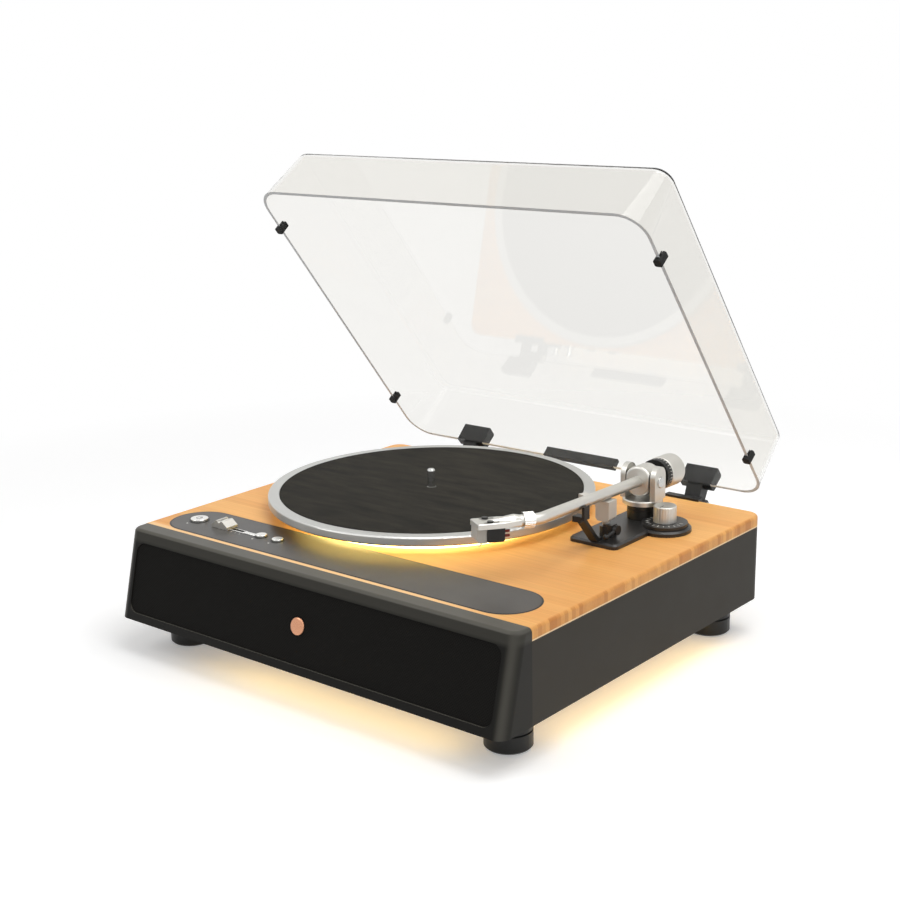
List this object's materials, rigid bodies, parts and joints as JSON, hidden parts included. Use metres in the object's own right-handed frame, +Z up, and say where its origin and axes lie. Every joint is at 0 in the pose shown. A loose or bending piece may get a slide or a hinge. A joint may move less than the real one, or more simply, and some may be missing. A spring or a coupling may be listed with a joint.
{
  "type": "record player",
  "caption": "Record player with a bamboo top, slanted speaker front, belt-driven platter, curved tonearm and a clear fold-up dust cover, lit amber under platter and cabinet.",
  "frame": {"origin": "on the floor, under the middle of the whole object at rest, cover open", "axes": "+X to the right of someone facing the front, +Y to the back, +Z up"},
  "size_m": [0.433, 0.4439, 0.4225],
  "materials": {
    "wood": "satin bamboo",
    "charcoal": "matte charcoal",
    "bezel": "satin dark grey",
    "cloth": "black weave",
    "board": "raw fibreboard",
    "strip": "matte dark grey",
    "black": "matte black",
    "rubber": "matte rubber",
    "felt": "dark felt",
    "alu": "satin aluminium",
    "steel": "ground steel",
    "bronze": "sintered bronze",
    "grey": "light grey",
    "clear": "clear acrylic",
    "amber": "amber light guide",
    "pcb": "circuit board",
    "magnet": "ferrite",
    "paper": "black paper cone"
  },
  "bodies": {
    "cabinet": {"cabinet_shell": "charcoal", "bottom_panel": "board", "top_plate": "wood", "feet": "black", "foot_pads": "rubber", "foot_screws": "steel", "glow_bars": "amber", "front_bezel": "bezel", "grille_cloth": "cloth", "grille_frame": "black", "speaker_baffle": "board", "speaker_baskets": "black", "speaker_magnets": "magnet", "speaker_cones": "paper", "control_strip": "strip", "control_board": "pcb", "bearing_housing": "alu", "bearing_bush": "bronze", "thrust_ball": "steel", "drive_belt": "rubber", "drive_motor": "steel", "light_ring": "amber", "arm_base": "strip", "arm_pillar": "alu", "arm_rest": "black", "hinge_brackets": "black", "hinge_pins": "steel", "connector_plate": "black", "phono_jacks": "alu", "aux_jack": "black", "power_jack": "black", "amplifier_board": "pcb"},
    "platter_set": {"platter": "alu", "slip_mat": "felt", "sub_platter": "black", "spindle_shaft": "steel"},
    "pulley": {"motor_pulley": "bronze"},
    "cover": {"dust_cover": "clear", "lid_bumpers": "rubber", "rear_bar": "black", "hinge_leaves": "black"},
    "arm_yoke": {"gimbal_yoke": "alu", "pivot_screws": "steel"},
    "tonearm": {"arm_drum": "alu", "arm_tube": "alu", "headshell": "alu", "cartridge": "black", "stylus_holder": "grey", "weight_stub": "steel"},
    "collar": {"locking_collar": "alu"},
    "weight_carrier": {"weight_bush": "black"},
    "weight": {"counterweight": "alu"},
    "dial": {"force_dial": "black"},
    "anti_skate": {"anti_skate_knob": "alu"},
    "lever": {"cue_lever": "black"},
    "lift": {"lift_platform": "grey"},
    "power_key": {"power_button": "alu"},
    "source_key": {"source_button": "alu"},
    "light_key": {"light_button": "alu"},
    "slider": {"volume_slider": "alu"}
  },
  "joints": [
    {"name": "platter_spin", "type": "hinge", "parent": "cabinet", "child": "platter_set", "pos_m": [-0.041, 0.00855, 0.1105], "axis": [0, 0, 1], "continuous": true},
    {"name": "pulley_spin", "type": "hinge", "parent": "cabinet", "child": "pulley", "pos_m": [-0.11595, 0.08351, 0.1105], "axis": [0, 0, 1], "continuous": true},
    {"name": "cover_hinge", "type": "hinge", "parent": "cabinet", "child": "cover", "pos_m": [0.001, 0.17775, 0.1003], "axis": [-1, 0, 0], "range_deg": [-51.7, 8]},
    {"name": "arm_swing", "type": "hinge", "parent": "cabinet", "child": "arm_yoke", "pos_m": [0.1433, 0.07725, 0.149], "axis": [0, 0, -1], "range_deg": [0, 50]},
    {"name": "arm_lift", "type": "hinge", "parent": "arm_yoke", "child": "tonearm", "pos_m": [0.1433, 0.07725, 0.149], "axis": [-0.9988, -0.0489, 0], "range_deg": [-2.6, 0]},
    {"name": "cue_lever_turn", "type": "hinge", "parent": "cabinet", "child": "lever", "pos_m": [0.15473, 0.01533, 0.1215], "axis": [-1, 0, 0], "range_deg": [0, 58]},
    {"name": "lift_rise", "type": "slide", "parent": "cabinet", "child": "lift", "axis": [0, 0, 1], "range_m": [-0.003, 0]},
    {"name": "weight_shift", "type": "slide", "parent": "tonearm", "child": "weight_carrier", "axis": [-0.0488, 0.9978, -0.0454], "range_m": [-0.00376, 0.00376]},
    {"name": "counterweight_turn", "type": "hinge", "parent": "weight_carrier", "child": "weight", "pos_m": [0.1433, 0.07725, 0.149], "axis": [-0.0488, 0.9978, -0.0454], "range_deg": [-540, 540]},
    {"name": "dial_turn", "type": "hinge", "parent": "weight_carrier", "child": "dial", "pos_m": [0.1433, 0.07725, 0.149], "axis": [-0.0488, 0.9978, -0.0454], "range_deg": [-180, 180]},
    {"name": "collar_turn", "type": "hinge", "parent": "tonearm", "child": "collar", "pos_m": [0.14605, -0.09488, 0.15681], "axis": [-0.5255, -0.85, 0.0374], "range_deg": [0, 60]},
    {"name": "anti_skate_turn", "type": "hinge", "parent": "cabinet", "child": "anti_skate", "pos_m": [0.1716, 0.06855, 0.118], "axis": [0, 0, -1], "range_deg": [0, 270]},
    {"name": "power_press", "type": "slide", "parent": "cabinet", "child": "power_key", "axis": [0, 0, -1], "range_m": [0, 0.001], "stiffness_N_per_m": 400, "springref_m": -0.0005},
    {"name": "source_press", "type": "slide", "parent": "cabinet", "child": "source_key", "axis": [0, 0, -1], "range_m": [0, 0.001], "stiffness_N_per_m": 400, "springref_m": -0.0005},
    {"name": "light_press", "type": "slide", "parent": "cabinet", "child": "light_key", "axis": [0, 0, -1], "range_m": [0, 0.001], "stiffness_N_per_m": 400, "springref_m": -0.0005},
    {"name": "volume_slide", "type": "slide", "parent": "cabinet", "child": "slider", "axis": [1, 0, 0], "range_m": [0, 0.026]}
  ],
  "couplings": [
    {"joint": "pulley_spin", "follows": "platter_spin", "ratio": 12.308},
    {"joint": "cue_lever_turn", "follows": "arm_lift", "ratio": -22},
    {"joint": "lift_rise", "follows": "arm_lift", "m_per_rad": 0.062},
    {"joint": "weight_shift", "follows": "counterweight_turn", "m_per_rad": 0.00039789}
  ]
}
